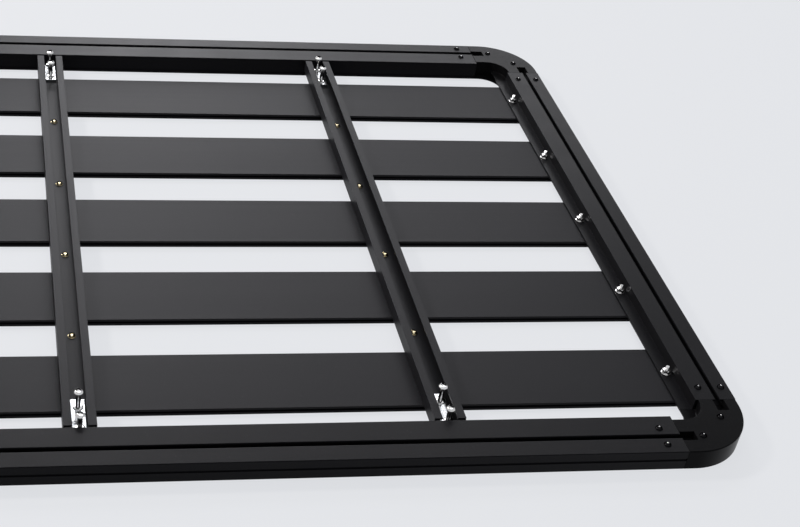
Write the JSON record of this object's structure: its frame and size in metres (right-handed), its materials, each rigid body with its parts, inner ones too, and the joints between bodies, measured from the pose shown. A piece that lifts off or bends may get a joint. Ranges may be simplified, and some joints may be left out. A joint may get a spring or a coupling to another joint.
{
  "type": "flat platform roof rack",
  "caption": "Flat rectangular platform rack of slotted rails, rounded corner castings, flat planks and open cross channels, lying on its deck with the mounting side up.",
  "frame": {"origin": "centre of the deck face, which lies on the floor as pictured", "axes": "+X along the planks, +Y across to the far side rail, +Z out of the mounting side; in use the rack is turned over"},
  "size_m": [2, 1.24, 0.0523],
  "materials": {
    "rail": "satin black powder coat",
    "casting": "satin black powder coat",
    "plank": "fine satin black powder coat",
    "channel": "satin black powder coat",
    "plate": "polished stainless",
    "bolt": "bright stainless",
    "clamp": "plain zinc",
    "gap_screw": "yellow zinc"
  },
  "bodies": {
    "root": {"side_rail_near": "rail", "side_rail_far": "rail", "end_rail_left": "rail", "end_rail_right": "rail", "corner_near_left": "casting", "corner_near_right": "casting", "corner_far_left": "casting", "corner_far_right": "casting", "plank_1": "plank", "plank_2": "plank", "plank_3": "plank", "plank_4": "plank", "plank_5": "plank", "channel_left": "channel", "channel_centre": "channel", "channel_right": "channel", "plate_left_near": "plate", "plate_left_far": "plate", "plate_centre_near": "plate", "plate_centre_far": "plate", "plate_right_near": "plate", "plate_right_far": "plate", "bolts_left_near": "bolt", "bolts_left_far": "bolt", "bolts_centre_near": "bolt", "bolts_centre_far": "bolt", "bolts_right_near": "bolt", "bolts_right_far": "bolt", "plank_bolts_left": "bolt", "plank_bolts_right": "bolt", "clamps_left": "clamp", "clamps_centre": "clamp", "clamps_right": "clamp", "gap_screws_left": "gap_screw", "gap_screws_centre": "gap_screw", "gap_screws_right": "gap_screw"}
  },
  "joints": []
}
